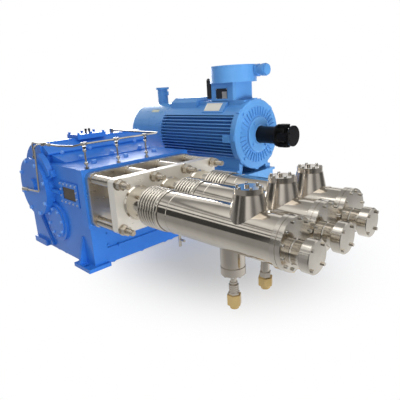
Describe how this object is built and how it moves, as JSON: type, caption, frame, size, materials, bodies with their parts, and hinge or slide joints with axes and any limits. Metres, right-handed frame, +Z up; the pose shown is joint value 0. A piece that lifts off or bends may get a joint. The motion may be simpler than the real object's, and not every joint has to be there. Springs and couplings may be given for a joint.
{
  "type": "cryogenic reciprocating pump",
  "caption": "Horizontal triplex plunger pump: blue crankcase with oil tubes, steel distance piece, three vacuum-jacketed cold ends with bellows, and a finned motor with a cardan joint.",
  "frame": {"origin": "centre of the footprint of the whole set, on the floor", "axes": "+X from the crankcase towards the outlets of the cold ends, +Y from the gear case side towards the motor, +Z up"},
  "size_m": [2.391, 1.643, 1.222],
  "materials": {
    "royal_enamel": "semi-gloss blue enamel on cast iron",
    "azure_enamel": "semi-gloss light blue enamel on cast iron and sheet steel",
    "stainless": "turned and polished stainless steel",
    "brass": "machined brass",
    "black_enamel": "satin black enamel on forged steel",
    "black_plastic": "matt black",
    "brown_glass": "clear pane over a dark brown inside"
  },
  "bodies": {
    "root": {"crankcase": "royal_enamel", "crosshead_cover": "royal_enamel", "hatch": "royal_enamel", "breathers": "black_plastic", "gear_case": "royal_enamel", "gear_cover": "royal_enamel", "bearing_cover": "royal_enamel", "window_frame": "royal_enamel", "window_glass": "brown_glass", "far_bearing_cover": "royal_enamel", "rear_cover": "royal_enamel", "oil_header": "stainless", "oil_drops": "stainless", "oil_side_line": "stainless", "oil_case_line": "stainless", "back_plate": "stainless", "front_plate": "stainless", "spacers": "stainless", "tie_bolts": "stainless", "piston_rods": "stainless", "gland_drain": "stainless", "bellows_1": "stainless", "bellows_2": "stainless", "bellows_3": "stainless", "jacket_1": "stainless", "jacket_2": "stainless", "jacket_3": "stainless", "vent_cone_1": "stainless", "vent_cone_2": "stainless", "vent_cone_3": "stainless", "drain_boss_1": "stainless", "drain_boss_2": "stainless", "drain_boss_3": "stainless", "head_1": "stainless", "head_2": "stainless", "head_3": "stainless", "outlet_1": "stainless", "outlet_2": "stainless", "outlet_3": "stainless", "brass_nuts": "brass", "motor_stand": "azure_enamel", "motor_frame": "azure_enamel", "fan_cowl": "azure_enamel", "cowl_stub": "azure_enamel", "end_shield": "azure_enamel", "terminal_box": "azure_enamel", "cable_gland": "azure_enamel", "box_plug": "black_plastic"},
    "shaft": {"motor_shaft": "black_enamel", "inner_yoke": "black_enamel"},
    "cross": {"yoke_cross": "black_enamel"},
    "outer_fork": {"outer_yoke": "black_enamel"}
  },
  "joints": [
    {"name": "shaft_spin", "type": "hinge", "parent": "root", "child": "shaft", "pos_m": [0.0865, 0.5575, 0.72], "axis": [1, 0, 0], "continuous": true},
    {"name": "cross_pivot", "type": "hinge", "parent": "shaft", "child": "cross", "pos_m": [0.3185, 0.5575, 0.72], "axis": [0, 0, 1], "range_deg": [-12, 12]},
    {"name": "fork_pivot", "type": "hinge", "parent": "cross", "child": "outer_fork", "pos_m": [0.3185, 0.5575, 0.72], "axis": [0, 1, 0], "range_deg": [-12, 12]}
  ]
}
